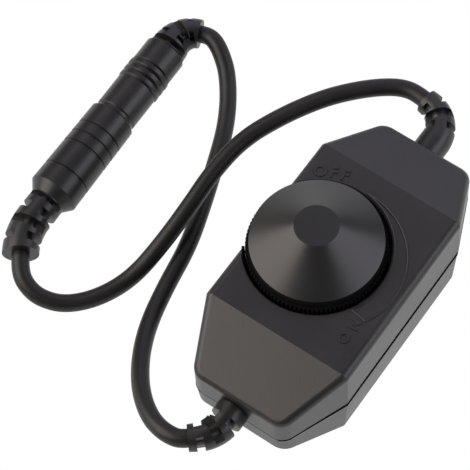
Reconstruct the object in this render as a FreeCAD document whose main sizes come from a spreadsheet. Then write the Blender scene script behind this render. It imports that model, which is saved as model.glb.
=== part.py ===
import FreeCAD, Part
import Sketcher
import math
import os
from FreeCAD import Placement, Rotation, Vector

# Rotary in-line dimmer for low-voltage light strips: a faceted two-part case with a cone knob,
# two cords held by slotted strain reliefs, and a barrel plug pushed into its own socket.
# Millimetres. The origin is the middle of the case's underside, +X runs along the case,
# +Y points to the side where the knob stands proud of the case, and +Z is up.

doc = FreeCAD.newDocument("cord_dimmer")
sheet = doc.addObject("Spreadsheet::Sheet", "sizes")

SIZES = {
    # Case
    "case_length": 75.7,
    "deck_length": 44.7,
    "case_width": 37.1,
    "end_width": 23.7,
    "case_height": 27.9,
    "parting_height": 13.0,
    "belly_rise": 7.4,
    "belly_lean": 0.7,
    "wall": 1.8,
    "end_corner": 3.8,
    "deck_round": 1.8,
    "belly_bevel": 0.5,
    "seam_height": 0.35,
    "seam_depth": 0.9,
    # Screw posts
    "post_inset": 4.6,
    "post_diameter": 6.4,
    "screw_diameter": 2.6,
    "screw_length": 10.0,
    "screw_grip": 5.0,
    "screw_head": 4.4,
    "screw_head_height": 1.6,
    # Knob and its well
    "knob_offset": 4.65,
    "knob_diameter": 30.0,
    "knob_flat": 10.0,
    "knob_rim_rise": 3.0,
    "knob_cone_rise": 7.0,
    "knob_wall": 1.9,
    "knob_roof": 2.3,
    "knob_cap": 3.8,
    "knob_lift": 0.6,
    "hub_diameter": 10.0,
    "skirt_diameter": 31.7,
    "skirt_rise": 0.4,
    "skirt_edge": 0.2,
    "knurl_depth": 0.5,
    "knurl_notch": 0.6,
    "well_gap": 0.6,
    "well_depth": 7.0,
    "well_wall": 1.5,
    "well_edge": 0.35,
    # Potentiometer
    "pot_diameter": 16.6,
    "pot_height": 7.2,
    "pot_wall": 0.9,
    "bushing_diameter": 7.0,
    "bushing_rise": 4.2,
    "shaft_diameter": 6.0,
    "shaft_flat": 1.5,
    "shaft_seat": 8.0,
    "washer_diameter": 10.6,
    "washer_thickness": 0.5,
    "nut_flats": 10.0,
    "nut_height": 2.0,
    "wafer_thickness": 1.2,
    "wiper_thickness": 1.2,
    "stop_depth": 1.4,
    "pin_pitch": 5.0,
    "pin_width": 0.9,
    "pin_standoff": 2.6,
    # Circuit board and what is soldered to it
    "board_end_gap": 9.05,
    "board_side_gap": 0.5,
    "board_thickness": 1.6,
    "board_post": 4.0,
    "board_post_inset": 7.0,
    "transistor_length": 6.2,
    "transistor_width": 6.6,
    "transistor_height": 2.4,
    "transistor_tab": 2.0,
    "tab_width": 5.2,
    "tab_thickness": 0.9,
    "chip_length": 8.7,
    "chip_width": 4.0,
    "chip_height": 1.75,
    "capacitor_diameter": 6.3,
    "capacitor_height": 7.5,
    "diode_length": 7.1,
    "diode_width": 5.9,
    "diode_height": 2.3,
    "resistor_diameter": 2.3,
    "resistor_length": 6.2,
    "resistor_pitch": 3.4,
    "lead_diameter": 1.4,
    "lead_spread": 2.0,
    "lead_landing": 2.4,
    "lead_bend": 2.0,
    # Cords and strain reliefs
    "cord_diameter": 3.7,
    "cord_hole_offset": 0.9,
    "cord_hole_rise": 2.4,
    "relief_diameter": 7.6,
    "relief_tip": 6.1,
    "relief_neck": 6.2,
    "relief_flange": 8.4,
    "relief_flange_thickness": 1.6,
    "relief_gap": 0.35,
    "relief_tail": 9.6,
    "slot_core": 4.1,
    "slot_bridge_top": 2.8,
    "slot_bridge_side": 2.0,
    "near_lead": 3.6,
    "near_bend": 8.4,
    "near_collar": 3.1,
    "far_lead": 4.9,
    "far_bend": 8.0,
    "far_collar": 7.4,
    # Barrel connectors: the point where they meet on their common axis
    "mate_x": 10.0,
    "mate_y": 70.2,
    "mate_height": 6.15,
    "socket_front": 11.5,
    "socket_rear": 12.2,
    "socket_length": 24.0,
    "socket_cone": 2.4,
    "socket_groove": 0.8,
    "socket_groove_depth": 0.35,
    "socket_groove_start": 6.1,
    "socket_groove_pitch": 2.95,
    "socket_rear_groove": 4.8,
    "socket_edge": 0.5,
    "socket_boot": 8.6,
    "socket_boot_lead": 5.0,
    "socket_boot_bend": 17.0,
    "plug_diameter": 10.4,
    "plug_rib": 10.9,
    "plug_length": 22.0,
    "plug_rib_start": 9.8,
    "plug_rib_pitch": 1.85,
    "plug_rib_groove": 0.25,
    "plug_nose": 0.9,
    "plug_nose_step": 0.3,
    "plug_edge": 0.5,
    "plug_boot": 9.6,
    "plug_boot_tip": 7.0,
    "plug_boot_lead": 2.6,
    "plug_boot_bend": 6.4,
    "barrel_diameter": 5.5,
    "barrel_bore": 4.5,
    "barrel_length": 9.5,
    "barrel_root": 6.0,
    "barrel_setback": 0.6,
    "contact_diameter": 2.9,
    "contact_base": 1.0,
    "pin_diameter": 2.1,
    "pin_recess": 1.0,
    "pin_tip": 0.8,
    "socket_core_diameter": 8.4,
    "socket_core_floor": 2.2,
    "spring_thickness": 0.4,
    "spring_recess": 1.5,
    # Clearances
    "fit_gap": 0.05,
    "free_gap": 0.3,
}

# Angles in degrees and the number of notches, which no change of length alters
ANGLES = {
    "turn_range": 300.0,
    "turn_spare": 4.0,
    "stop_angle": 40.0,
    "near_turn": 50.0,
    "far_turn": 79.0,
    "mate_heading": 1.2,
    "socket_boot_turn": 34.0,
    "plug_boot_turn": 70.0,
    "spring_sweep": 40.0,
}
COUNTS = {"knurl_count": 100}
FULL_TURN = 360.0

for row, (alias, number) in enumerate({**SIZES, **ANGLES, **COUNTS}.items(), start=1):
    sheet.set(f"A{row}", alias)
    sheet.set(f"B{row}", str(number))
    sheet.setAlias(f"B{row}", alias)
doc.recompute()


class Size:
    """A length with the spreadsheet expression that it comes from, so both stay in step."""

    def __init__(self, value, text):
        self.value = value
        self.text = text

    def joined(self, sign, other, value, swapped=False):
        second = other.text if isinstance(other, Size) else repr(other)
        pair = (second, self.text) if swapped else (self.text, second)
        return Size(value, f"({pair[0]} {sign} {pair[1]})")

    def __add__(self, other):
        return self.joined("+", other, self.value + number_of(other))

    def __sub__(self, other):
        return self.joined("-", other, self.value - number_of(other))

    def __rsub__(self, other):
        return self.joined("-", other, number_of(other) - self.value, swapped=True)

    def __mul__(self, other):
        return self.joined("*", other, self.value * number_of(other))

    def __truediv__(self, other):
        return self.joined("/", other, self.value / number_of(other))

    def __neg__(self):
        return Size(-self.value, f"(0 - {self.text})")

    __radd__ = __add__
    __rmul__ = __mul__


def number_of(length):
    return length.value if isinstance(length, Size) else float(length)


def diagonal(first, second):
    """The long side of a right triangle with two given legs."""
    return Size(math.hypot(first.value, second.value), f"sqrt({first.text} ^ 2 + {second.text} ^ 2)")


def size(alias):
    return Size(float(sheet.get(alias)), f"sizes.{alias}")


def bind(obj, field, length):
    """Set a property to a length and tie it to the sheet."""
    if isinstance(length, Size):
        obj.setExpression(field, length.text)
    else:
        setattr(obj, field, length)


def place(obj, x=0.0, y=0.0, z=0.0, rotation=None):
    """Put an object at a point whose coordinates follow the sheet."""
    spot = Vector(number_of(x), number_of(y), number_of(z))
    obj.Placement = Placement(spot, rotation or Rotation())
    for axis, length in (("x", x), ("y", y), ("z", z)):
        if isinstance(length, Size):
            obj.setExpression(f".Placement.Base.{axis}", length.text)
    return obj


# Building blocks: bodies with sketched outlines, primitives and booleans

def new_body(name):
    return doc.addObject("PartDesign::Body", name)


def sketch_on(body, name, role, height=None):
    """Start a sketch on one of the body's own planes, raised by a height along its normal."""
    plane = next(feature for feature in body.Origin.OriginFeatures if feature.Role == role)
    sketch = body.newObject("Sketcher::SketchObject", name)
    sketch.AttachmentSupport = (plane, [""])
    sketch.MapMode = "FlatFace"
    if height is not None:
        sketch.AttachmentOffset = Placement(Vector(0, 0, number_of(height)), Rotation())
        sketch.setExpression(".AttachmentOffset.Base.z", height.text)
    return sketch


def draw_outline(sketch, corners):
    """Draw a closed outline through corners and hold every corner by its two coordinates."""
    spots = [Vector(number_of(x), number_of(y), 0) for x, y in corners]
    first = sketch.GeometryCount
    count = len(corners)
    for i in range(count):
        sketch.addGeometry(Part.LineSegment(spots[i], spots[(i + 1) % count]), False)
    for i in range(count):
        sketch.addConstraint(Sketcher.Constraint("Coincident", first + i, 2, first + (i + 1) % count, 1))
    for i, corner in enumerate(corners):
        for kind, axis, length in (("DistanceX", -2, corner[0]), ("DistanceY", -1, corner[1])):
            if abs(number_of(length)) < 1e-9:
                sketch.addConstraint(Sketcher.Constraint("PointOnObject", first + i, 1, axis))
                continue
            index = sketch.addConstraint(
                Sketcher.Constraint(kind, -1, 1, first + i, 1, number_of(length)))
            if isinstance(length, Size):
                sketch.setExpression(f"Constraints[{index}]", length.text)


def turned_body(name, profile):
    """A body of revolution about its own Z axis, from a profile of radii and heights."""
    body = new_body(name)
    sketch = sketch_on(body, f"{name}_profile", "XZ_Plane")
    draw_outline(sketch, profile)
    turn = body.newObject("PartDesign::Revolution", f"{name}_turn")
    turn.Profile = sketch
    turn.ReferenceAxis = (sketch, ["V_Axis"])
    turn.Angle = FULL_TURN
    doc.recompute()
    return body


def cylinder(name, diameter, height, x=0.0, y=0.0, z=0.0, rotation=None):
    rod = doc.addObject("Part::Cylinder", name)
    bind(rod, "Radius", diameter / 2)
    bind(rod, "Height", height)
    return place(rod, x, y, z, rotation)


def block(name, length, width, height, x, y, z):
    """A box centred on x and y that stands on z."""
    box = doc.addObject("Part::Box", name)
    bind(box, "Length", length)
    bind(box, "Width", width)
    bind(box, "Height", height)
    return place(box, x - length / 2, y - width / 2, z)


def cut(name, base, *tools):
    for i, tool in enumerate(tools):
        step = doc.addObject("Part::Cut", name if i == len(tools) - 1 else f"{name}_cut_{i}")
        step.Base = base
        step.Tool = tool
        base = step
    return base


def fuse(name, *pieces):
    joined = doc.addObject("Part::MultiFuse", name)
    joined.Shapes = list(pieces)
    joined.Refine = True
    return joined


def compound(name, *pieces):
    group = doc.addObject("Part::Compound", name)
    group.Links = list(pieces)
    return group


def shape_node(name, shape):
    feature = doc.addObject("Part::Feature", name)
    feature.Shape = shape
    return feature


def edges_where(shape, test):
    return [f"Edge{i}" for i, edge in enumerate(shape.Edges, start=1) if test(edge)]


def middle_of(edge):
    return edge.valueAt((edge.FirstParameter + edge.LastParameter) / 2)


nodes = []


def node(name, obj):
    """Name a finished sub-part and list it for the files."""
    obj.Label = name
    nodes.append((name, obj))
    return obj


# Case: one long octagon in plan, with both ends sloping to a low end face above and below

half_deck = size("deck_length") / 2
half_length = size("case_length") / 2
half_width = size("case_width") / 2
half_end = size("end_width") / 2
end_run = half_length - half_deck
taper = half_width - half_end
mitre = (diagonal(end_run, taper) - end_run) / taper
parting = size("parting_height")
deck = size("case_height")
wall = size("wall")
TOUCH = 1e-3


def case_block(name, inset, crown, foot, lean):
    """The case's solid on one side of the parting plane, drawn in by an inset all round.

    crown is the flat top's or underside's height, foot the height where its sloped ends
    meet the end faces, and lean how far the walls draw in from the parting plane to the crown.
    """
    end = half_length - inset
    side = half_width - inset
    share = (end - half_deck) / end_run
    narrow = side - taper * share
    low = crown - (crown - foot) * share
    rise = crown - parting
    upward = rise.value > 0
    height = rise if upward else -rise
    body = new_body(name)
    plan = sketch_on(body, f"{name}_plan", "XY_Plane", parting)
    draw_outline(plan, [
        (half_deck, side), (-half_deck, side), (-end, narrow), (-end, -narrow),
        (-half_deck, -side), (half_deck, -side), (end, -narrow), (end, narrow)])
    walls = body.newObject("PartDesign::Pad", f"{name}_walls")
    walls.Profile = plan
    walls.Reversed = not upward
    bind(walls, "Length", height)
    walls.setExpression("TaperAngle", f"-1 * atan({lean.text} / {height.text})")
    doc.recompute()
    half_height = height.value / 2
    end_side = number_of(half_deck + end_run / 2)
    upright = edges_where(walls.Shape, lambda edge: edge.BoundBox.ZLength > half_height and
                          abs(middle_of(edge).x) > end_side)
    corner = body.newObject("PartDesign::Fillet", f"{name}_corners")
    corner.Base = (walls, upright)
    bind(corner, "Radius", size("end_corner") - inset)
    doc.recompute()
    slopes = sketch_on(body, f"{name}_slopes", "XZ_Plane")
    beyond = half_length + wall
    over = crown + wall if upward else crown - wall
    ridge = half_deck - lean * mitre
    for flip in (1, -1):
        draw_outline(slopes, [
            (ridge * flip, crown), (end * flip, low), (beyond * flip, low),
            (beyond * flip, over), (ridge * flip, over)])
    ends = body.newObject("PartDesign::Pocket", f"{name}_ends")
    ends.Profile = slopes
    ends.Type = "ThroughAll"
    ends.Midplane = True
    doc.recompute()
    return body, ends


def round_deck(body, last, radius):
    """Round the loop of edges where the deck and its slopes turn into the side walls."""
    def on_rim(edge):
        spot = middle_of(edge)
        ridge = abs(spot.y) < TOUCH and abs(spot.x) < half_deck.value + TOUCH
        return edge.BoundBox.ZMin > parting.value + TOUCH and not ridge
    rim = body.newObject("PartDesign::Fillet", f"{body.Name}_rim")
    rim.Base = (last, edges_where(last.Shape, on_rim))
    bind(rim, "Radius", radius)
    doc.recompute()


def bevel_belly(body, foot, width):
    """Break the two long edges of the underside."""
    sketch = sketch_on(body, f"{body.Name}_edges", "YZ_Plane")
    for flip in (1, -1):
        draw_outline(sketch, [
            ((foot - width) * flip, -wall), (foot * flip, width), ((foot + wall) * flip, width),
            ((foot + wall) * flip, -wall)])
    bevel = body.newObject("PartDesign::Pocket", f"{body.Name}_bevel")
    bevel.Profile = sketch
    bevel.Type = "ThroughAll"
    bevel.Midplane = True
    doc.recompute()


# The deck's ends fall as much as the plan narrows, so that the rounded edges meet in a clean mitre

slope_foot = deck - taper
flush = 0 * wall
upper_block, upper_ends = case_block("upper_block", flush, deck, slope_foot, flush)
round_deck(upper_block, upper_ends, size("deck_round"))
upper_cavity, _ = case_block("upper_cavity", wall, deck - wall, slope_foot - wall, flush)

belly_foot = size("belly_rise")
belly_lean = size("belly_lean")
lower_block, _ = case_block("lower_block", flush, flush, belly_foot, belly_lean)
bevel_belly(lower_block, half_width - belly_lean, size("belly_bevel"))
lower_cavity, _ = case_block("lower_cavity", wall, wall, belly_foot + wall,
                             belly_lean * (parting - wall) / parting)

# Shadow gap: the lower half steps in below the parting plane, so that the halves meet in a dark line

seam_depth = size("seam_depth")
seam_core, _ = case_block("seam_core", seam_depth, seam_depth, belly_foot + seam_depth,
                          belly_lean * (parting - seam_depth) / parting)
seam_slab = block("seam_slab", size("case_length") + wall, size("case_width") + wall, size("seam_height"),
                  0.0, 0.0, parting - size("seam_height"))
seam = cut("seam_ring", seam_slab, seam_core)

# Knob well: a round cup sunk in the deck that breaks out through the +Y wall

knob_y = size("knob_offset")
skirt_radius = size("skirt_diameter") / 2
well_radius = skirt_radius + size("well_gap")
well_floor = deck - size("well_depth")
floor_under = well_floor - size("well_wall")
cup_diameter = (well_radius + size("well_wall")) * 2
cup_height = deck - wall / 2 - floor_under
cup = doc.addObject("Part::Common", "well_cup")
cup.Base = cylinder("well_cup_round", cup_diameter, cup_height, 0.0, knob_y, floor_under)
cup.Tool = block("well_cup_limit", cup_diameter + wall, size("case_width") - wall, cup_height,
                 0.0, 0.0, floor_under)
well = cylinder("well", well_radius * 2, size("well_depth") + wall, 0.0, knob_y, well_floor)
well_bevel = doc.addObject("Part::Cone", "well_bevel")
bind(well_bevel, "Radius1", well_radius)
bind(well_bevel, "Radius2", well_radius + size("well_edge") * 2)
bind(well_bevel, "Height", size("well_edge") * 2)
place(well_bevel, 0.0, knob_y, deck - size("well_edge"))
fit_gap = size("fit_gap")
bushing_hole = cylinder("bushing_hole", size("bushing_diameter") + fit_gap * 2, size("well_wall") + wall,
                        0.0, knob_y, floor_under - wall / 2)

# Screw posts in the four corners of the wide part, a pilot hole above and a sunk seat below

post_x = half_deck - size("post_inset")
post_y = half_width - size("post_inset")
corners = [(post_x, post_y), (-post_x, post_y), (-post_x, -post_y), (post_x, -post_y)]
screw_seat = parting - size("screw_grip")
pilot_top = screw_seat + size("screw_length") + size("free_gap")
upper_posts = []
pilot_holes = []
lower_posts = []
screw_holes = []
screws = []
for i, (x, y) in enumerate(corners):
    post = size("post_diameter")
    thread = size("screw_diameter")
    upper_posts.append(cylinder(f"upper_post_{i}", post, deck - wall / 2 - parting, x, y, parting))
    pilot_holes.append(cylinder(f"pilot_hole_{i}", thread, pilot_top - parting, x, y, parting))
    lower_posts.append(cylinder(f"lower_post_{i}", post, parting - wall / 2, x, y, wall / 2))
    head_hole = size("screw_head") + size("free_gap")
    screw_holes.append(cylinder(f"screw_hole_{i}", thread + size("free_gap"), parting, x, y, 0.0))
    screw_holes.append(cylinder(f"screw_sink_{i}", head_hole, screw_seat, x, y, 0.0))
    screws.append(cylinder(f"screw_shank_{i}", thread, size("screw_length"), x, y, screw_seat))
    screws.append(cylinder(f"screw_head_{i}", size("screw_head"), size("screw_head_height"), x, y,
                           screw_seat - size("screw_head_height")))

# Cord holes through both end walls, and posts under the circuit board

hole_y = size("cord_hole_offset")
hole_z = parting + size("cord_hole_rise")
along_x = Rotation(Vector(0, 1, 0), 90)
cord_hole = cylinder("cord_holes", size("relief_neck") + fit_gap * 2, size("case_length") + wall * 2,
                     -half_length - wall, hole_y, hole_z, along_x)
pot_base = floor_under - size("pot_height")
board_top = pot_base - size("pin_standoff")
board_under = board_top - size("board_thickness")
half_board = half_length - wall - size("board_end_gap")
half_board_width = post_y - size("post_diameter") / 2 - size("board_side_gap")
board_posts = []
for i, (flip_x, flip_y) in enumerate(((1, 1), (-1, 1), (-1, -1), (1, -1))):
    board_posts.append(cylinder(
        f"board_post_{i}", size("board_post"), board_under - wall / 2,
        (half_board - size("board_post_inset")) * flip_x,
        (half_board_width - size("board_post") / 2) * flip_y, wall / 2))


upper_hollow = cut("upper_hollow", upper_block, upper_cavity)
upper_full = fuse("upper_full", upper_hollow, cup, *upper_posts)
node("upper_shell", cut("upper_shell_solid", upper_full, well, well_bevel, bushing_hole, cord_hole,
                        *pilot_holes))

lower_hollow = cut("lower_hollow", lower_block, lower_cavity)
lower_full = fuse("lower_full", lower_hollow, *lower_posts, *board_posts)
node("lower_shell", cut("lower_shell_solid", lower_full, seam, cord_hole, *screw_holes))
node("case_screws", fuse("case_screws_solid", *screws))

# Knob: a straight cone with a flat top over a wider knurled skirt, hollow below, with a hub on the shaft

knob_base = well_floor + size("knob_lift")
knob_radius = size("knob_diameter") / 2
skirt_top = deck + size("skirt_rise") - knob_base
skirt_edge = size("skirt_edge")
rim_height = deck + size("knob_rim_rise") - knob_base
knob_height = rim_height + size("knob_cone_rise")
flat_radius = size("knob_flat") / 2
knurl_depth = size("knurl_depth")
hub_radius = size("hub_diameter") / 2
bore_radius = size("shaft_diameter") / 2 + fit_gap
inside_radius = skirt_radius - knurl_depth - size("knob_wall")
hub_foot = well_floor + size("bushing_rise") + size("free_gap") - knob_base
cone_fall = size("knob_cone_rise") / (knob_radius - flat_radius)
roof_hub = knob_height - size("knob_roof") - cone_fall * (hub_radius - flat_radius)
roof_rim = knob_height - size("knob_roof") - cone_fall * (inside_radius - flat_radius)
shaft_top = knob_height - size("knob_cap")

knob = turned_body("knob_turned", [
    (inside_radius, 0.0), (skirt_radius, 0.0), (skirt_radius, skirt_top - skirt_edge),
    (skirt_radius - skirt_edge, skirt_top), (knob_radius, skirt_top), (knob_radius, rim_height),
    (flat_radius, knob_height), (0.0, knob_height), (0.0, shaft_top), (bore_radius, shaft_top),
    (bore_radius, hub_foot), (hub_radius, hub_foot), (hub_radius, roof_hub), (inside_radius, roof_rim)])
notch_sketch = sketch_on(knob, "knurl_notch", "XY_Plane")
notch_outside = skirt_radius + knurl_depth
notch_half = size("knurl_notch")
draw_outline(notch_sketch, [
    (skirt_radius - knurl_depth, 0.0), (notch_outside, notch_half), (notch_outside, -notch_half)])
notch = knob.newObject("PartDesign::Pocket", "knurl_notch_cut")
notch.Profile = notch_sketch
notch.Reversed = True
bind(notch, "Length", skirt_top)
doc.recompute()
knurl = knob.newObject("PartDesign::PolarPattern", "knurl")
knurl.Originals = [notch]
knurl.Axis = (notch_sketch, ["N_Axis"])
knurl.Angle = FULL_TURN
bind(knurl, "Occurrences", size("knurl_count"))
knob.Tip = knurl
place(knob, 0.0, knob_y, knob_base)
knob_flat_key = block("knob_key", size("shaft_diameter"), size("shaft_flat"), size("shaft_seat"),
                      0.0, knob_y + size("shaft_diameter") / 2 - size("shaft_flat") / 2 + fit_gap * 2,
                      knob_base + shaft_top - size("shaft_seat"))
node("knob", fuse("knob_solid", knob, knob_flat_key))

# Potentiometer: a cup with a bushing under the well's floor, its shaft, wiper and track wafer

pot_radius = size("pot_diameter") / 2
bushing_top = well_floor + size("bushing_rise")
pot_wall = size("pot_wall")
shaft_bore = size("shaft_diameter") / 2 + fit_gap
pot_turned = turned_body("pot_cup", [
    (pot_radius - pot_wall, pot_base), (pot_radius, pot_base), (pot_radius, floor_under),
    (size("bushing_diameter") / 2, floor_under), (size("bushing_diameter") / 2, bushing_top),
    (shaft_bore, bushing_top), (shaft_bore, floor_under - pot_wall * 2),
    (pot_radius - pot_wall, floor_under - pot_wall * 2)])
place(pot_turned, 0.0, knob_y, 0.0)


def sector(name, inner, outer, middle_angle, spread, low, high):
    """A piece of a ring between two radii, centred on an angle about the knob's axis."""
    ring = doc.addObject("Part::Cylinder", f"{name}_ring")
    bind(ring, "Radius", outer)
    bind(ring, "Height", high - low)
    bind(ring, "Angle", spread)
    turn = Rotation(Vector(0, 0, 1), number_of(middle_angle - spread / 2))
    place(ring, 0.0, knob_y, low, turn)
    core = cylinder(f"{name}_core", inner * 2, high - low, 0.0, knob_y, low)
    return cut(name, ring, core)


# The travel is what the rotor's lug leaves of a turn between the two sides of the fixed stop
STOP_MIDDLE = 90.0
wafer_top = pot_base + size("wafer_thickness")
wiper_low = wafer_top + size("free_gap") * 2
wiper_high = wiper_low + size("wiper_thickness")
rotor_radius = pot_radius - pot_wall - size("free_gap")
stop_inner = rotor_radius - size("stop_depth")
lug_spread = FULL_TURN - size("turn_range") - size("turn_spare") - size("stop_angle")
fixed_stop = sector("pot_stop", stop_inner, pot_radius - pot_wall / 2, STOP_MIDDLE, size("stop_angle"),
                    wiper_low, floor_under - pot_wall)
node("pot_case", fuse("pot_case_solid", pot_turned, fixed_stop))

shaft_low = wafer_top + size("free_gap")
shaft = cylinder("shaft_round", size("shaft_diameter"), knob_base + shaft_top - shaft_low - fit_gap,
                 0.0, knob_y, shaft_low)
shaft_flat = block("shaft_flat_cut", size("shaft_diameter"), size("shaft_flat"), size("shaft_seat") + wall,
                   0.0, knob_y + size("shaft_diameter") / 2 - size("shaft_flat") / 2,
                   knob_base + shaft_top - size("shaft_seat") - fit_gap)
node("pot_shaft", cut("pot_shaft_solid", shaft, shaft_flat))

lug_middle = STOP_MIDDLE - (size("stop_angle") + size("turn_spare") + lug_spread) / 2
wiper_radius = stop_inner - size("free_gap")
wiper_disc = cylinder("wiper_disc", wiper_radius * 2, size("wiper_thickness"), 0.0, knob_y, wiper_low)
wiper_lug = sector("wiper_lug", wiper_radius - size("stop_depth"), rotor_radius, lug_middle, lug_spread,
                   wiper_low, wiper_high)
wiper_bore = cylinder("wiper_bore", size("shaft_diameter"), size("wiper_thickness") + wall,
                      0.0, knob_y, wiper_low - wall / 2)
node("pot_wiper", cut("pot_wiper_solid", fuse("wiper_full", wiper_disc, wiper_lug), wiper_bore))

wafer = cylinder("wafer", (pot_radius - pot_wall) * 2, size("wafer_thickness"), 0.0, knob_y, pot_base)
pins = [block(f"pot_pin_{i}", size("pin_width"), size("pin_width") / 2, pot_base - board_under,
              size("pin_pitch") * (i - 1), knob_y, board_under) for i in range(3)]
node("pot_track", fuse("pot_track_solid", wafer, *pins))

washer_disc = cylinder("washer_disc", size("washer_diameter"), size("washer_thickness"),
                       0.0, knob_y, well_floor)
washer_bore = cylinder("washer_bore", size("bushing_diameter") + fit_gap * 2,
                       size("washer_thickness") + wall, 0.0, knob_y, well_floor - wall / 2)
node("pot_washer", cut("pot_washer_solid", washer_disc, washer_bore))

nut_prism = doc.addObject("Part::Prism", "nut_prism")
nut_prism.Polygon = 6
nut_prism.setExpression("Circumradius", f"{size('nut_flats').text} / 2 / cos(30 deg)")
bind(nut_prism, "Height", size("nut_height"))
nut_seat = well_floor + size("washer_thickness")
place(nut_prism, 0.0, knob_y, nut_seat)
nut_bore = cylinder("nut_bore", size("bushing_diameter") + fit_gap, size("nut_height") + wall, 0.0, knob_y,
                    nut_seat - wall / 2)
node("pot_nut", cut("pot_nut_solid", nut_prism, nut_bore))

# Circuit board on its four posts, with holes for the potentiometer's pins

board_plate = block("board_plate", half_board * 2, half_board_width * 2, size("board_thickness"),
                    0.0, 0.0, board_under)
pin_holes = [cylinder(f"pin_hole_{i}", size("pin_width") + size("free_gap"), size("board_thickness") + wall,
                      size("pin_pitch") * (i - 1), knob_y, board_under - wall / 2) for i in range(3)]
node("circuit_board", cut("circuit_board_solid", board_plate, *pin_holes))

edge_gap = size("free_gap")
lead_x = half_board - size("lead_landing")
transistor_x = -lead_x + size("lead_landing") + size("transistor_tab") + size("transistor_length") / 2
transistor_y = -half_board_width + size("transistor_width") / 2 + edge_gap
package = block("transistor_package", size("transistor_length"), size("transistor_width"),
                size("transistor_height"), transistor_x, transistor_y, board_top)
tab_x = transistor_x - (size("transistor_length") + size("transistor_tab")) / 2
tab = block("transistor_tab_plate", size("transistor_tab"), size("tab_width"), size("tab_thickness"),
            tab_x, transistor_y, board_top)
node("power_transistor", fuse("power_transistor_solid", package, tab))

chip_x = lead_x - size("lead_landing") - size("chip_length") / 2
chip_y = -half_board_width + size("chip_width") / 2 + edge_gap
node("controller_chip", block("controller_chip_solid", size("chip_length"), size("chip_width"),
                              size("chip_height"), chip_x, chip_y, board_top))

capacitor_x = lead_x - size("lead_diameter") / 2 - edge_gap - size("capacitor_diameter") / 2
capacitor_y = half_board_width - size("capacitor_diameter") / 2 - edge_gap
node("capacitor", cylinder("capacitor_solid", size("capacitor_diameter"), size("capacitor_height"),
                           capacitor_x, capacitor_y, board_top))

diode_y = -half_board_width + size("diode_width") / 2 + edge_gap
node("diode", block("diode_solid", size("diode_length"), size("diode_width"), size("diode_height"),
                    0.0, diode_y, board_top))

resistors = [cylinder(f"resistor_{i}", size("resistor_diameter"), size("resistor_length"),
                      capacitor_x - size("capacitor_diameter") - size("resistor_length"),
                      capacitor_y - size("resistor_pitch") * i,
                      board_top + size("resistor_diameter") / 2, along_x) for i in range(2)]
node("resistors", compound("resistors_group", *resistors))


# Bent paths: a straight lead, one arc and a straight tail, all level

class BentPath:
    """A level path from a point: straight, then a turn about the vertical, then straight."""

    def __init__(self, start, heading, lead, bend, turn, tail):
        self.start = start
        self.heading = math.radians(heading)
        self.lead = lead
        self.bend = bend
        self.turn = math.radians(turn)
        self.tail = tail
        self.length = lead + bend * abs(self.turn) + tail

    def station(self, run):
        """The point and the heading vector after a run along the path."""
        ahead = Vector(math.cos(self.heading), math.sin(self.heading), 0)
        left = Vector(-ahead.y, ahead.x, 0) * math.copysign(1, self.turn)
        if run <= self.lead:
            return self.start + ahead * run, ahead
        swept = min((run - self.lead) / self.bend, abs(self.turn))
        spot = self.start + ahead * (self.lead + self.bend * math.sin(swept))
        spot = spot + left * (self.bend * (1 - math.cos(swept)))
        facing = ahead * math.cos(swept) + left * math.sin(swept)
        rest = run - self.lead - self.bend * swept
        return spot + facing * max(rest, 0), facing

    def wire(self, low, high):
        """The stretch of the path between two runs, as lines and an arc."""
        marks = [low, self.lead, self.lead + self.bend * abs(self.turn), high]
        edges = []
        if marks[1] > low + 1e-6:
            edges.append(Part.LineSegment(self.station(low)[0], self.station(marks[1])[0]).toShape())
        first = max(low, marks[1])
        last = min(high, marks[2])
        middle = self.station((first + last) / 2)[0]
        edges.append(Part.Arc(self.station(first)[0], middle, self.station(last)[0]).toShape())
        if high > marks[2] + 1e-6:
            edges.append(Part.LineSegment(self.station(marks[2])[0], self.station(high)[0]).toShape())
        return Part.Wire(edges)


def ring_at(path, run, radius):
    spot, facing = path.station(run)
    return Part.Wire(Part.makeCircle(radius, spot, facing))


def tapered_sweep(path, low, high, radius_low, radius_high):
    sections = [ring_at(path, low, radius_low), ring_at(path, high, radius_high)]
    return path.wire(low, high).makePipeShell(sections, True, False)


# Slots open at the sides, at top and bottom, or as four windows with webs between them

SIDES = "sides"
TOP = "top"
WINDOWS = "windows"
core_radius = size("slot_core").value / 2


def slot_tool(path, run, width, reach, opening):
    """A cutter for one row of slots, down to the core that holds the cord."""
    spot, facing = path.station(run)
    low = spot - facing * (width / 2)
    cutter = Part.makeCylinder(reach, width, low, facing)
    webs = [Part.makeCylinder(core_radius, width, low, facing)]
    sections = []
    if opening != TOP:
        sections.append((size("slot_bridge_top").value, reach * 2))
    if opening != SIDES:
        sections.append((reach * 2, size("slot_bridge_side").value))
    angle = math.degrees(math.atan2(facing.y, facing.x))
    for wide, tall in sections:
        web = Part.makeBox(width * 2, wide, tall, Vector(-width, -wide / 2, -tall / 2))
        web.Placement = Placement(spot, Rotation(Vector(0, 0, 1), angle))
        webs.append(web)
    return cutter.cut(webs)


def slotted(solid, path, start, rows, reach):
    """Cut rows of slots into a boot: each row is a gap to the next slot, its width and its opening."""
    run = start
    for gap, width, opening in rows:
        run += gap
        solid = solid.cut(slot_tool(path, run + width / 2, width, reach, opening))
        run += width
    return solid



# Case strain reliefs: flange inside the wall, neck in the hole, collar and slotted tail outside

RELIEF_ROWS = [(0.0, 1.7, SIDES), (1.1, 2.2, TOP), (1.2, 1.8, SIDES)]


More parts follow.
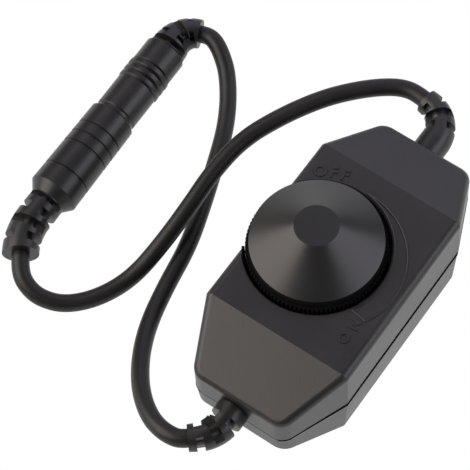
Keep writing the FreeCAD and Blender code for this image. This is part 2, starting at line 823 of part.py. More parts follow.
def strain_relief(name, side, lead, bend, turn, collar):
    """A relief on the end wall at side (-1 or 1) whose tail turns towards the knob's side."""
    start = Vector(side * half_length.value, hole_y.value, hole_z.value)
    tail_end = collar.value + size("relief_tail").value
    straight = tail_end - lead.value - bend.value * math.radians(turn.value)
    heading = 0.0 if side > 0 else 180.0
    path = BentPath(start, heading, lead.value, bend.value, turn.value * side, max(straight, 0.0))
    radius = size("relief_diameter").value / 2
    tip = size("relief_tip").value / 2
    shoulder = size("relief_gap").value
    outward = Vector(side, 0, 0)
    root = start + outward * shoulder
    collar_solid = Part.makeCylinder(radius, path.lead - shoulder, root, outward)
    tail = tapered_sweep(path, path.lead, path.length, radius, tip)
    flange_spot = start - outward * (wall.value + size("free_gap").value)
    flange_thickness = size("relief_flange_thickness").value
    neck = Part.makeCylinder(size("relief_neck").value / 2, (root - flange_spot).Length, root, -outward)
    flange = Part.makeCylinder(size("relief_flange").value / 2, flange_thickness, flange_spot, -outward)
    solid = collar_solid.multiFuse([tail, neck, flange]).removeSplitter()
    solid = slotted(solid, path, collar.value, RELIEF_ROWS, size("relief_diameter").value)
    node(name, shape_node(f"{name}_solid", solid))
    return flange_spot - outward * flange_thickness


near_inside = strain_relief(
    "output_relief", -1, size("near_lead"), size("near_bend"), size("near_turn"), size("near_collar"))
far_inside = strain_relief(
    "input_relief", 1, size("far_lead"), size("far_bend"), size("far_turn"), size("far_collar"))


# Lead wires inside the case: two from each cord, bent down to the board

def lead_wires(name, inside, side):
    radius = size("lead_diameter").value / 2
    bend = size("lead_bend").value
    solids = []
    for flip in (1, -1):
        start = inside + Vector(0, flip * size("lead_spread").value / 2, 0)
        corner = Vector(side * lead_x.value, start.y, start.z)
        foot = Vector(corner.x, corner.y, board_top.value)
        before = corner + Vector(side * bend, 0, 0)
        after = corner - Vector(0, 0, bend)
        slack = bend * (1 - math.sqrt(0.5))
        middle = corner + Vector(side * slack, 0, -slack)
        route = Part.Wire([
            Part.LineSegment(start, before).toShape(),
            Part.Arc(before, middle, after).toShape(),
            Part.LineSegment(after, foot).toShape()])
        ring = Part.Wire(Part.makeCircle(radius, start, Vector(-side, 0, 0)))
        solids.append(route.makePipeShell([ring], True, False))
    node(name, shape_node(f"{name}_solid", Part.makeCompound(solids)))


lead_wires("output_leads", near_inside, -1)
lead_wires("input_leads", far_inside, 1)

# Barrel connectors, turned about their own Z axis, which points away from the plane where they meet

mate = Vector(size("mate_x").value, size("mate_y").value, size("mate_height").value)
mate_heading = size("mate_heading").value
toward_plug = Rotation(Vector(0, 0, 1), mate_heading).multiply(along_x)
toward_socket = Rotation(Vector(0, 0, 1), mate_heading + 180).multiply(along_x)


def place_on_mate(obj, rotation):
    return place(obj, size("mate_x"), size("mate_y"), size("mate_height"), rotation)


# Plug: moulded grip with three ribs and a slotted boot, round a metal barrel and its inner contact

plug_radius = size("plug_diameter") / 2
rib_radius = size("plug_rib") / 2
barrel_radius = size("barrel_diameter") / 2
root = size("barrel_root")
rib_start = size("plug_rib_start")
rib_pitch = size("plug_rib_pitch")
RIB_COUNT = 3
rib_groove = size("plug_rib_groove")
groove_radius = plug_radius - rib_groove
rib_profile = []
for i in range(RIB_COUNT):
    low = rib_start + rib_pitch * i
    rib_profile += [
        (groove_radius, low), (rib_radius, low + rib_pitch / 4), (rib_radius, low + rib_pitch * 3 / 4)]
rib_end = rib_start + rib_pitch * RIB_COUNT
plug_edge = size("plug_edge")
nose_radius = plug_radius - size("plug_nose_step")
plug_length = size("plug_length")
plug_grip = turned_body("plug_grip", [
    (barrel_radius, 0.0), (nose_radius, 0.0), (nose_radius, size("plug_nose")),
    (plug_radius, size("plug_nose") + size("plug_nose_step")), (plug_radius, rib_start - rib_groove),
    *rib_profile, (groove_radius, rib_end), (plug_radius, rib_end + rib_groove),
    (plug_radius, plug_length - plug_edge), (plug_radius - plug_edge, plug_length), (0.0, plug_length),
    (0.0, root), (barrel_radius, root)])
place_on_mate(plug_grip, toward_plug)
PLUG_ROWS = [(0.2, 1.6, TOP), (1.0, 1.1, WINDOWS), (1.0, 1.7, TOP), (1.1, 1.1, WINDOWS)]
plug_start = mate + toward_plug.multVec(Vector(0, 0, plug_length.value))
plug_path = BentPath(plug_start, mate_heading, size("plug_boot_lead").value, size("plug_boot_bend").value,
                     -size("plug_boot_turn").value, 0.0)
plug_tail = tapered_sweep(plug_path, 0.0, plug_path.length, size("plug_boot").value / 2,
                          size("plug_boot_tip").value / 2)
plug_tail = slotted(plug_tail, plug_path, 0.0, PLUG_ROWS, size("plug_boot").value)
node("plug_body", fuse("plug_body_solid", plug_grip, shape_node("plug_tail", plug_tail)))

inner_radius = size("barrel_bore") / 2
contact_radius = size("contact_diameter") / 2
pin_bore = size("pin_diameter") / 2 + fit_gap
insert = size("barrel_length")
plug_barrel = turned_body("plug_barrel_turned", [
    (inner_radius, -insert), (barrel_radius, -insert), (barrel_radius, root), (inner_radius, root)])
node("plug_barrel", place_on_mate(plug_barrel, toward_plug))
insulator_tip = -insert + size("barrel_setback")
plug_insulator = turned_body("plug_insulator_turned", [
    (contact_radius, insulator_tip), (inner_radius, insulator_tip), (inner_radius, root),
    (contact_radius, root)])
node("plug_insulator", place_on_mate(plug_insulator, toward_plug))
contact_tip = insulator_tip + size("barrel_setback")
contact_floor = root - size("contact_base")
plug_contact = turned_body("plug_contact_turned", [
    (pin_bore, contact_tip), (contact_radius, contact_tip), (contact_radius, root), (0.0, root),
    (0.0, contact_floor), (pin_bore, contact_floor)])
node("plug_contact", place_on_mate(plug_contact, toward_plug))

# Socket: moulded grip with finger grooves and a cone behind, round a liner with pin and spring

front_radius = size("socket_front") / 2
rear_radius = size("socket_rear") / 2
core_outside = size("socket_core_diameter") / 2
liner_floor = insert + size("free_gap")
core_depth = liner_floor + size("socket_core_floor")
socket_length = size("socket_length")
flare = (rear_radius - front_radius) / socket_length
groove_depth = size("socket_groove_depth")
half_groove = size("socket_groove") / 2
FRONT_GROOVES = 3
groove_spots = [size("socket_groove_start") + size("socket_groove_pitch") * i for i in range(FRONT_GROOVES)]
groove_spots.append(socket_length - size("socket_rear_groove"))
groove_profile = []
for spot in groove_spots:
    surface = front_radius + flare * spot
    groove_profile += [
        (surface, spot - half_groove), (surface - groove_depth, spot - half_groove / 2),
        (surface - groove_depth, spot + half_groove / 2), (surface, spot + half_groove)]
socket_end = socket_length + size("socket_cone")
boot_radius = size("socket_boot") / 2
socket_edge = size("socket_edge")
socket_grip = turned_body("socket_grip", [
    (core_outside, 0.0), (front_radius - socket_edge, 0.0), (front_radius, socket_edge), *groove_profile,
    (rear_radius, socket_length), (boot_radius, socket_end), (0.0, socket_end),
    (0.0, core_depth), (core_outside, core_depth)])
place_on_mate(socket_grip, toward_socket)
SOCKET_ROWS = [(0.3, 1.3, TOP), (1.6, 1.9, SIDES), (1.8, 2.1, TOP), (1.8, 2.0, SIDES)]
socket_start = mate + toward_socket.multVec(Vector(0, 0, socket_end.value))
socket_path = BentPath(socket_start, mate_heading + 180, size("socket_boot_lead").value,
                       size("socket_boot_bend").value, size("socket_boot_turn").value, 0.0)
socket_tail = tapered_sweep(socket_path, 0.0, socket_path.length, boot_radius.value, boot_radius.value)
socket_tail = slotted(socket_tail, socket_path, 0.0, SOCKET_ROWS, size("socket_boot").value)
node("socket_body", fuse("socket_body_solid", socket_grip, shape_node("socket_tail", socket_tail)))

liner_bore = barrel_radius + fit_gap + size("spring_thickness")
pin_radius = size("pin_diameter") / 2
socket_liner = turned_body("socket_liner_turned", [
    (liner_bore, 0.0), (core_outside, 0.0), (core_outside, core_depth), (pin_radius, core_depth),
    (pin_radius, liner_floor), (liner_bore, liner_floor)])
node("socket_liner", place_on_mate(socket_liner, toward_socket))
recess = size("pin_recess")
socket_pin = turned_body("socket_pin_turned", [
    (0.0, recess), (pin_radius / 2, recess), (pin_radius, recess + size("pin_tip")),
    (pin_radius, core_depth), (0.0, core_depth)])
node("socket_pin", place_on_mate(socket_pin, toward_socket))

spring_low = size("spring_recess").value
spring_sweep = size("spring_sweep").value
leaf = Part.makeCylinder(liner_bore.value, liner_floor.value - spring_low, Vector(0, 0, spring_low),
                         Vector(0, 0, 1), spring_sweep)
leaf = leaf.cut(Part.makeCylinder((barrel_radius + fit_gap).value, liner_floor.value))
socket_spring = node("socket_spring", shape_node("socket_spring_solid", leaf))
half_back = Rotation(Vector(0, 0, 1), -spring_sweep / 2)
socket_spring.Placement = Placement(mate, toward_socket.multiply(half_back))


# Cords: plain tubes of straight runs and tangent arcs along routes chosen by eye

OUTPUT_ROUTE = [
    (-49.02, 5.26, 15.4), (-50.18, 6.64, 15.4), (-50.6, 8.8, 15.3), (-50.45, 11.6, 14.9),
    (-49.2, 15.3, 13.8), (-46.2, 19.7, 12.0), (-42.0, 23.9, 9.7), (-35.8, 28.4, 6.7), (-27.7, 32.5, 3.4),
    (-17.3, 35.2, 1.9), (-6.3, 36.9, 1.9), (4.2, 40.3, 1.9), (14.6, 44.1, 1.9),
    (23.9, 47.7, 1.9), (30.9, 51.6, 2.4), (36.5, 55.9, 3.8), (38.9, 58.9, 5.1),
    (40.3, 61.1, 5.8), (41.2, 63.2, 6.15), (41.31, 65.05, 6.15), (40.7, 66.63, 6.15)]
INPUT_ROUTE = [
    (50.81, 8.42, 15.4), (51.38, 11.37, 15.4), (50.8, 15.2, 15.3), (48.2, 19.4, 15.2),
    (44.0, 24.2, 14.9), (38.2, 29.4, 14.4), (29.5, 34.9, 13.4), (20.0, 39.3, 12.1),
    (9.9, 40.6, 10.8), (-0.6, 40.3, 9.1), (-10.7, 40.9, 6.3), (-20.0, 42.6, 2.7),
    (-28.2, 46.1, 1.9), (-34.2, 51.4, 2.0), (-36.6, 56.8, 3.7), (-36.2, 61.0, 5.2),
    (-34.19, 64.08, 6.15), (-30.84, 66.44, 6.15)]
ARC_SHARE = 0.45


def cord_tube(name, route):
    """A tube along a route, with each bend as wide as its two runs allow."""
    points = [Vector(*spot) for spot in route]
    edges = []
    radii = []
    last = points[0]
    for before, corner, after in zip(points, points[1:], points[2:]):
        back = (before - corner).normalize()
        onward = (after - corner).normalize()
        reach = ARC_SHARE * min((before - corner).Length, (after - corner).Length)
        half_turn = (math.pi - back.getAngle(onward)) / 2
        radius = reach / math.tan(half_turn)
        radii.append(round(radius, 1))
        entry = corner + back * reach
        leave = corner + onward * reach
        inward = (back + onward).normalize()
        middle = corner + inward * (radius / math.cos(half_turn) - radius)
        edges.append(Part.LineSegment(last, entry).toShape())
        edges.append(Part.Arc(entry, middle, leave).toShape())
        last = leave
    edges.append(Part.LineSegment(last, points[-1]).toShape())
    path = Part.Wire(edges)
    radius = size("cord_diameter").value / 2
    ring = Part.Wire(Part.makeCircle(radius, points[0], points[1] - points[0]))
    tube = path.makePipeShell([ring], True, False)
    share = tube.Volume / (math.pi * radius ** 2 * path.Length)
    print(name, "length", round(path.Length, 1), "volume share", round(share, 4), "bend radii", radii)
    node(name, shape_node(f"{name}_solid", tube))


cord_tube("output_cord", OUTPUT_ROUTE)
cord_tube("input_cord", INPUT_ROUTE)

# Every object has to be sound before any file is written

doc.recompute()
for obj in doc.Objects:
    if "Invalid" in obj.State or "Error" in obj.State:
        raise RuntimeError(f"{obj.Label} failed: {obj.State}")
for name, obj in nodes:
    if obj.Shape.isNull() or not obj.Shape.isValid() or not obj.Shape.Solids:
        raise RuntimeError(f"{name} has no sound shape")
os.makedirs("parts", exist_ok=True)
for name, obj in nodes:
    obj.Shape.exportStep(f"parts/{name}.step")
    print(name, "solids", len(obj.Shape.Solids), "volume", round(obj.Shape.Volume, 1))
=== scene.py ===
import math

import bmesh
import bpy
from mathutils import Matrix, Vector


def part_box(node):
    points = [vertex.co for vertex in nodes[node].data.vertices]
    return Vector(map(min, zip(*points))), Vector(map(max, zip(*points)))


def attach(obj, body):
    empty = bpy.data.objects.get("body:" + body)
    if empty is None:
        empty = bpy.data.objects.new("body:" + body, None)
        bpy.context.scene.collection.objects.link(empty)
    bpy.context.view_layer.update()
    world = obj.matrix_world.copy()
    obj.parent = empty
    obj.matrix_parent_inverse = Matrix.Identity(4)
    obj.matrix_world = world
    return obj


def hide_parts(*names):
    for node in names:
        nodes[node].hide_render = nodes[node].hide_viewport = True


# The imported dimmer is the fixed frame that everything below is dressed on. It lies on its
# underside with +X along the case, +Y towards the side where the knob stands proud and +Z up.

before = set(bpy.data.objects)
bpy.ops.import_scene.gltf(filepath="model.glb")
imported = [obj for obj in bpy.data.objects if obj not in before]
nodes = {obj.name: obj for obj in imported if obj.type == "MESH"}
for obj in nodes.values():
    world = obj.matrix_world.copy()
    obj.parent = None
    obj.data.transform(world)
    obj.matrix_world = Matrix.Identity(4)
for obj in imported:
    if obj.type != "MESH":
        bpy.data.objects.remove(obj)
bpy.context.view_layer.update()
MM = 0.001

# View: a long lens looks down on the near end of the case from above its front corner, and the
# dimmer sits to the right of the frame so that both cords and the joined connectors fit beside it.

VIEW_AZIMUTH = math.radians(-55.95)
VIEW_ELEVATION = math.radians(64.24)
VIEW_DISTANCE = 500 * MM
VIEW_TARGET = Vector((0, -0.2, 14.5)) * MM
PHOTO_SIDE = 470
FOCAL_PIXELS = 2225.6
TARGET_PIXEL = (335.24, 283.98)

lens = bpy.data.cameras.new("camera")
lens.sensor_width = 36
lens.lens = FOCAL_PIXELS / PHOTO_SIDE * lens.sensor_width
lens.shift_x = (PHOTO_SIDE / 2 - TARGET_PIXEL[0]) / PHOTO_SIDE
lens.shift_y = (TARGET_PIXEL[1] - PHOTO_SIDE / 2) / PHOTO_SIDE
view_right = Vector((math.cos(VIEW_AZIMUTH), math.sin(VIEW_AZIMUTH), 0))
view_back = Vector((math.cos(VIEW_ELEVATION) * math.sin(VIEW_AZIMUTH),
                    -math.cos(VIEW_ELEVATION) * math.cos(VIEW_AZIMUTH),
                    math.sin(VIEW_ELEVATION)))
view_up = view_back.cross(view_right)
camera = bpy.data.objects.new("camera", lens)
turn = Matrix((view_right, view_up, view_back)).transposed().to_4x4()
camera.matrix_world = Matrix.Translation(VIEW_TARGET + view_back * VIEW_DISTANCE) @ turn
bpy.context.scene.collection.objects.link(camera)
bpy.context.scene.camera = camera
bpy.context.scene.view_settings.view_transform = "Standard"

# Studio: a white table top, a sky that is white at the horizon and dim overhead, and three large
# soft boxes: a warm one to the left of the view, a cool one at its right and a weak one behind.

FLOOR_REACH = 4.0
FLOOR_DROP = 0.02 * MM
FLOOR_SIDES = 64
TABLE_PAINT = (0.8, 0.8, 0.8, 1)
SKY_HORIZON = (1.0, 1.0, 1.0, 1)
SKY_ZENITH = (0.08, 0.08, 0.08, 1)
SKY_FALL = 0.06
LAMP_DISTANCE = 0.9


def new_nodes(material):
    """Clear a material's nodes and give back the tree and a function that adds nodes to it."""
    material.use_nodes = True
    tree = material.node_tree
    tree.nodes.clear()

    def add(kind, **settings):
        made = tree.nodes.new(kind)
        for field, value in settings.items():
            setattr(made, field, value)
        return made

    return tree, add


table_top = bpy.data.materials.new("white_table_top")
tree, add = new_nodes(table_top)
light_path = add("ShaderNodeLightPath")
seen = add("ShaderNodeMath", operation="ADD", use_clamp=True)
seen_or_shown = add("ShaderNodeMath", operation="ADD", use_clamp=True)
paint = add("ShaderNodeBsdfDiffuse")
paint.inputs["Color"].default_value = TABLE_PAINT
glow = add("ShaderNodeEmission")
glow.inputs["Strength"].default_value = 1.0
pick = add("ShaderNodeMixShader")
tree.links.new(light_path.outputs["Is Camera Ray"], seen.inputs[0])
tree.links.new(light_path.outputs["Is Glossy Ray"], seen.inputs[1])
tree.links.new(seen.outputs[0], seen_or_shown.inputs[0])
tree.links.new(light_path.outputs["Is Transmission Ray"], seen_or_shown.inputs[1])
tree.links.new(seen_or_shown.outputs[0], pick.inputs["Fac"])
tree.links.new(paint.outputs[0], pick.inputs[1])
tree.links.new(glow.outputs[0], pick.inputs[2])
tree.links.new(pick.outputs[0], add("ShaderNodeOutputMaterial").inputs["Surface"])

floor_mesh = bpy.data.meshes.new("floor")
sheet = bmesh.new()
bmesh.ops.create_circle(sheet, cap_ends=True, segments=FLOOR_SIDES, radius=FLOOR_REACH,
                        matrix=Matrix.Translation((0, 0, -FLOOR_DROP)))
sheet.to_mesh(floor_mesh)
sheet.free()
floor = bpy.data.objects.new("floor", floor_mesh)
floor_mesh.materials.append(table_top)
bpy.context.scene.collection.objects.link(floor)

sky = bpy.data.worlds.new("studio_sky")
bpy.context.scene.world = sky
tree, add = new_nodes(sky)
direction = add("ShaderNodeTexCoord")
height = add("ShaderNodeSeparateXYZ")
fall = add("ShaderNodeValToRGB")
fall.color_ramp.elements[0].position = 0.0
fall.color_ramp.elements[0].color = SKY_HORIZON
fall.color_ramp.elements[1].position = SKY_FALL
fall.color_ramp.elements[1].color = SKY_ZENITH
backdrop = add("ShaderNodeBackground")
tree.links.new(direction.outputs["Generated"], height.inputs[0])
tree.links.new(height.outputs["Z"], fall.inputs["Fac"])
tree.links.new(fall.outputs["Color"], backdrop.inputs["Color"])
tree.links.new(backdrop.outputs[0], add("ShaderNodeOutputWorld").inputs["Surface"])


def soft_box(name, azimuth, elevation, size, watts, colour):
    """An upright area lamp, size wide and tall, that looks at the dimmer from a direction."""
    lamp = bpy.data.lights.new(name, "AREA")
    lamp.shape = "RECTANGLE"
    lamp.size, lamp.size_y = size
    lamp.energy = watts
    lamp.color = colour
    box = bpy.data.objects.new(name, lamp)
    level = math.cos(math.radians(elevation))
    aim = Vector((level * math.cos(math.radians(azimuth)),
                  level * math.sin(math.radians(azimuth)),
                  math.sin(math.radians(elevation))))
    seat = Matrix.Translation(aim * LAMP_DISTANCE)
    box.matrix_world = seat @ aim.to_track_quat("Z", "Y").to_matrix().to_4x4()
    bpy.context.scene.collection.objects.link(box)


soft_box("warm_window", 124, 40, (1.05, 0.9), 10.5, (1.0, 0.915, 0.865))
soft_box("cool_panel", 296, 32, (1.2, 0.6), 4.8, (0.93, 0.90, 1.0))
soft_box("far_panel", 20, 38, (1.0, 0.9), 2.5, (0.86, 0.83, 1.0))

# Cords: round black jackets over two wires, 4.2 mm thick. One runs from the case's near end to
# the plug, the other from the far end over the first to the socket, and both lie on the table.

CORD_DIAMETER = 4.2 * MM
OUTPUT_ROUTE = [
    (-49.02, 5.26, 15.4), (-50.18, 6.64, 15.4), (-50.6, 8.8, 15.3), (-50.45, 11.6, 14.9),
    (-49.2, 15.3, 13.8), (-46.2, 19.7, 12.0), (-42.0, 23.9, 9.7), (-35.8, 28.4, 6.7), (-27.7, 32.5, 3.4),
    (-17.3, 35.2, 2.15), (-6.3, 36.9, 2.15), (4.2, 40.3, 2.15), (14.6, 44.1, 2.15),
    (23.9, 47.7, 2.15), (30.9, 51.6, 2.6), (36.5, 55.9, 3.8), (38.9, 58.9, 5.1),
    (40.3, 61.1, 5.8), (41.2, 63.2, 6.15), (41.31, 65.05, 6.15), (40.7, 66.63, 6.15)]
INPUT_ROUTE = [
    (50.81, 8.42, 15.4), (51.38, 11.37, 15.4), (50.8, 15.2, 15.3), (48.2, 19.4, 15.2),
    (44.0, 24.2, 14.9), (38.2, 29.4, 14.4), (29.5, 34.9, 13.4), (20.0, 39.3, 12.1),
    (9.9, 40.6, 10.8), (-0.6, 40.3, 9.1), (-10.7, 40.9, 6.3), (-20.0, 42.6, 2.7),
    (-28.2, 46.1, 2.15), (-34.2, 51.4, 2.25), (-36.6, 56.8, 3.7), (-36.2, 61.0, 5.2),
    (-34.19, 64.08, 6.15), (-30.84, 66.44, 6.15)]
TINT_SPREAD = 0.15
GLOSS_SPREAD = 0.05
GRAIN_STRENGTH = 0.5


def grained_plastic(name, colour, roughness, mottle, grain, relief, gleam=0.5):
    """A moulded plastic: faint colour mottle, uneven gloss and a fine raised grain.

    mottle and grain are the sizes of the two patterns, relief is the grain's height and gleam the
    strength of the reflections.
    """
    material = bpy.data.materials.new(name)
    tree, add = new_nodes(material)
    spot = add("ShaderNodeTexCoord")
    clouds = add("ShaderNodeTexNoise")
    clouds.inputs["Scale"].default_value = 1 / mottle
    clouds.inputs["Detail"].default_value = 3
    tint = add("ShaderNodeValToRGB")
    tint.color_ramp.elements[0].position = 0.3
    tint.color_ramp.elements[0].color = (*(part * (1 - TINT_SPREAD) for part in colour), 1)
    tint.color_ramp.elements[1].position = 0.7
    tint.color_ramp.elements[1].color = (*(part * (1 + TINT_SPREAD) for part in colour), 1)
    gloss = add("ShaderNodeMapRange")
    gloss.inputs["To Min"].default_value = roughness - GLOSS_SPREAD
    gloss.inputs["To Max"].default_value = roughness + GLOSS_SPREAD
    specks = add("ShaderNodeTexNoise")
    specks.inputs["Scale"].default_value = 1 / grain
    specks.inputs["Detail"].default_value = 2
    bump = add("ShaderNodeBump")
    bump.inputs["Strength"].default_value = GRAIN_STRENGTH
    bump.inputs["Distance"].default_value = relief
    shader = add("ShaderNodeBsdfPrincipled")
    shader.inputs["Specular IOR Level"].default_value = gleam
    tree.links.new(spot.outputs["Object"], clouds.inputs["Vector"])
    tree.links.new(spot.outputs["Object"], specks.inputs["Vector"])
    tree.links.new(clouds.outputs["Fac"], tint.inputs["Fac"])
    tree.links.new(clouds.outputs["Fac"], gloss.inputs["Value"])
    tree.links.new(tint.outputs["Color"], shader.inputs["Base Color"])
    tree.links.new(gloss.outputs["Result"], shader.inputs["Roughness"])
    tree.links.new(specks.outputs["Fac"], bump.inputs["Height"])
    tree.links.new(bump.outputs["Normal"], shader.inputs["Normal"])
    tree.links.new(shader.outputs[0], add("ShaderNodeOutputMaterial").inputs["Surface"])
    return material


jacket = grained_plastic("cord_jacket", (0.008, 0.0077, 0.0074), 0.46, 9 * MM, 0.5 * MM, 0.004 * MM,
                         gleam=0.4)


def lay_cord(name, route):
    """A cord of the jacket's thickness along its route, which ends at the connector."""
    line = bpy.data.curves.new(name, "CURVE")
    line.dimensions = "3D"
    spline = line.splines.new("NURBS")
    spline.points.add(len(route) - 1)
    for point, spot in zip(spline.points, route):
        point.co = (*(Vector(spot) * MM), 1)
    spline.order_u = 3
    spline.use_endpoint_u = True
    spline.resolution_u = 10
    line.bevel_depth = CORD_DIAMETER / 2
    line.bevel_resolution = 8
    line.use_fill_caps = True
    line.materials.append(jacket)
    laid = bpy.data.objects.new(name, line)
    bpy.context.scene.collection.objects.link(laid)
    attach(laid, "dimmer")
    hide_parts(name.removesuffix("_jacket"))


lay_cord("output_cord_jacket", OUTPUT_ROUTE)
lay_cord("input_cord_jacket", INPUT_ROUTE)

# Case: two hard plastic shells, satin black from a lightly sparked mould, held together by four
# plated screws that sit deep in the underside.


def dress(material, *names):
    """Give CAD solids their finish."""
    for name in names:
        slots = nodes[name].data.materials
        slots.clear()
        slots.append(material)


case_black = grained_plastic("satin_case", (0.017, 0.0168, 0.0168), 0.38, 14 * MM, 0.35 * MM, 0.05 * MM)
dress(case_black, "upper_shell", "lower_shell")

# Joint between the shells: the upper shell's edge stands off the lower one, and the shade in that gap is
# painted as a near-black skin along the long sides. It closes towards the near end, and the lower edge
# flares out a little.

GAP_HEIGHTS = (13.0 * MM, 14.15 * MM)
GAP_OPENS = (-37.8 * MM, -18.0 * MM)
GAP_PROUD = (0.02 * MM, 0.02 * MM)
LIP_HEIGHTS = (11.7 * MM, 12.65 * MM)
LIP_PROUD = (0.0, 0.1 * MM)
SKIN = 0.05 * MM
MERGE = 0.001 * MM
SLIVER = 0.03 * MM
END_FACING = 0.3
WALL_MISS = 0.3 * MM


def add_piece(name, shape, material, body):
    """Turn a finished shape into a piece that rides on a body."""
    bmesh.ops.recalc_face_normals(shape, faces=shape.faces)
    mesh = bpy.data.meshes.new(name)
    shape.to_mesh(mesh)
    shape.free()
    mesh.materials.append(material)
    piece = bpy.data.objects.new(name, mesh)
    bpy.context.scene.collection.objects.link(piece)
    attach(piece, body)


def copy_of(name):
    """A copy of a CAD solid's faces, joined up at their edges."""
    shape = bmesh.new()
    shape.from_mesh(nodes[name].data)
    bmesh.ops.remove_doubles(shape, verts=shape.verts, dist=MERGE)
    return shape


def shell_band(name, shell, heights, proud, material, opens=None):
    """A thin skin on a shell's long sides and bevels between two heights.

    proud gives how far it stands off the wall at its lower and at its upper edge, and opens the
    places along the case where it begins and where it reaches its full height.
    """
    low, high = heights
    band = copy_of(shell)
    cuts = [((0, 0, low), (0, 0, -1)), ((0, 0, high), (0, 0, 1))]
    if opens:
        rise = (high - low) / (opens[1] - opens[0])
        cuts.append(((opens[0], 0, low), (-rise, 0, 1)))
    for spot, facing in cuts:
        bmesh.ops.bisect_plane(band, geom=[*band.verts, *band.edges, *band.faces], plane_co=spot,
                               plane_no=facing, clear_outer=True)
    corners = [vert.co.copy() for vert in band.verts]
    hidden = []
    for face in band.faces:
        reach = max(face.normal.dot(corner) for corner in corners)
        behind = reach - face.normal.dot(face.calc_center_median())
        if abs(face.normal.y) < END_FACING or behind > WALL_MISS:
            hidden.append(face)
    bmesh.ops.delete(band, geom=hidden, context="FACES")
    bmesh.ops.remove_doubles(band, verts=band.verts, dist=SLIVER)
    band.normal_update()
    for vert in band.verts:
        share = (vert.co.z - low) / (high - low)
        vert.co += vert.normal * (proud[0] + (proud[1] - proud[0]) * share)
    bmesh.ops.solidify(band, geom=band.faces[:], thickness=SKIN)
    add_piece(name, band, material, "dimmer")


# Painted shade: near black with almost no reflection, for the shade inside the joint and at the ends of
# the knob's opening.
painted_shade_black = grained_plastic("painted_shade", (0.003, 0.003, 0.003), 0.9, 5 * MM, 0.3 * MM, 0.01 * MM,
                            gleam=0.02)
shell_band("joint_gap_painted_shade", "upper_shell", GAP_HEIGHTS, GAP_PROUD, painted_shade_black, GAP_OPENS)
shell_band("joint_lip", "lower_shell", LIP_HEIGHTS, LIP_PROUD, case_black)

# Marks on the deck: a wedge outlined by a fine bead, which widens as the light grows brighter, and
# the words at its two ends. All are raised a little, in one with the upper shell's plastic.

DECK_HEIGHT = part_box("upper_shell")[1].z
KNOB_AXIS = Vector((0, 4.65 * MM, DECK_HEIGHT))
BEAD_RADIUS = 0.28 * MM
BEAD_SIDES = 10
ARC_STEPS = 48
INNER_RADIUS = 17.2 * MM
INNER_ARC = (math.radians(-119.7), math.radians(-6.3))
OUTER_CENTRE = Vector((-0.98 * MM, 1.8 * MM, DECK_HEIGHT))
OUTER_RADIUS = 18.1 * MM
OUTER_ARC = (math.radians(-117), math.radians(3))
LETTER_RISE = 0.25 * MM
LETTER_WEIGHT = 0.02
OFF_TALL = 2.9 * MM
OFF_RADIUS = 18.9 * MM
OFF_BEARINGS = (32.0, 22.6, 14.4)
ON_TALL = 2.5 * MM
ON_SPOTS = ((-15.0 * MM, -12.6 * MM), (-11.1 * MM, -12.7 * MM))


def on_arc(centre, radius, angle):
    """A point of a level circle."""
    return centre + radius * Vector((math.cos(angle), math.sin(angle), 0))


def bent_bead(marks, centre, radius, arc):
    """A round bead along an arc of a level circle, half sunk in the deck."""
    start, end = arc
    standing = Matrix.Rotation(start, 4, "Z") @ Matrix.Rotation(math.pi / 2, 4, "X")
    seat = Matrix.Translation(on_arc(centre, radius, start)) @ standing
    ring = bmesh.ops.create_circle(marks, segments=BEAD_SIDES, radius=BEAD_RADIUS, matrix=seat)["verts"]
    edges = {edge for vert in ring for edge in vert.link_edges}
    bmesh.ops.spin(marks, geom=[*ring, *edges], cent=centre, axis=(0, 0, 1), angle=end - start,
                   steps=ARC_STEPS)


def straight_bead(marks, start, end):
    """A round bead from point to point, half sunk in the deck."""
    run = end - start
    seat = Matrix.Translation((start + end) / 2) @ run.to_track_quat("Z", "Y").to_matrix().to_4x4()
    bmesh.ops.create_cone(marks, cap_ends=True, segments=BEAD_SIDES, radius1=BEAD_RADIUS,
                          radius2=BEAD_RADIUS, depth=run.length, matrix=seat)


def raised_letter(marks, letter, tall, middle, lean):
    """A letter that stands on the deck with its middle at a point, turned by an angle."""
    shape = bpy.data.curves.new(letter, "FONT")
    shape.body = letter
    shape.extrude = LETTER_RISE
    shape.offset = LETTER_WEIGHT
    drawn = bpy.data.objects.new(letter, shape)
    mesh = bpy.data.meshes.new_from_object(drawn)
    bpy.data.objects.remove(drawn)
    bpy.data.curves.remove(shape)
    low = Vector([min(vert.co[axis] for vert in mesh.vertices) for axis in range(2)] + [0])
    high = Vector([max(vert.co[axis] for vert in mesh.vertices) for axis in range(2)] + [0])
    fit = tall / (high.y - low.y)
    mesh.transform(Matrix.Translation(-(low + high) / 2))
    mesh.transform(Matrix.Diagonal((fit, fit, 1, 1)))
    mesh.transform(Matrix.Translation(middle) @ Matrix.Rotation(lean, 4, "Z"))
    marks.from_mesh(mesh)
    bpy.data.meshes.remove(mesh)


marks = bmesh.new()
bent_bead(marks, KNOB_AXIS, INNER_RADIUS, INNER_ARC)
bent_bead(marks, OUTER_CENTRE, OUTER_RADIUS, OUTER_ARC)
bmesh.ops.holes_fill(marks, edges=[edge for edge in marks.edges if edge.is_boundary])
straight_bead(marks, on_arc(KNOB_AXIS, INNER_RADIUS, INNER_ARC[0]),
              on_arc(OUTER_CENTRE, OUTER_RADIUS, OUTER_ARC[0]))
for letter, bearing in zip("OFF", OFF_BEARINGS):
    angle = math.radians(bearing)
    raised_letter(marks, letter, OFF_TALL, on_arc(KNOB_AXIS, OFF_RADIUS, angle), angle - math.pi / 2)
for letter, spot in zip("ON", ON_SPOTS):
    raised_letter(marks, letter, ON_TALL, Vector((*spot, DECK_HEIGHT)), 0.0)
bmesh.ops.remove_doubles(marks, verts=marks.verts, dist=MERGE)
add_piece("deck_marks", marks, case_black, "dimmer")
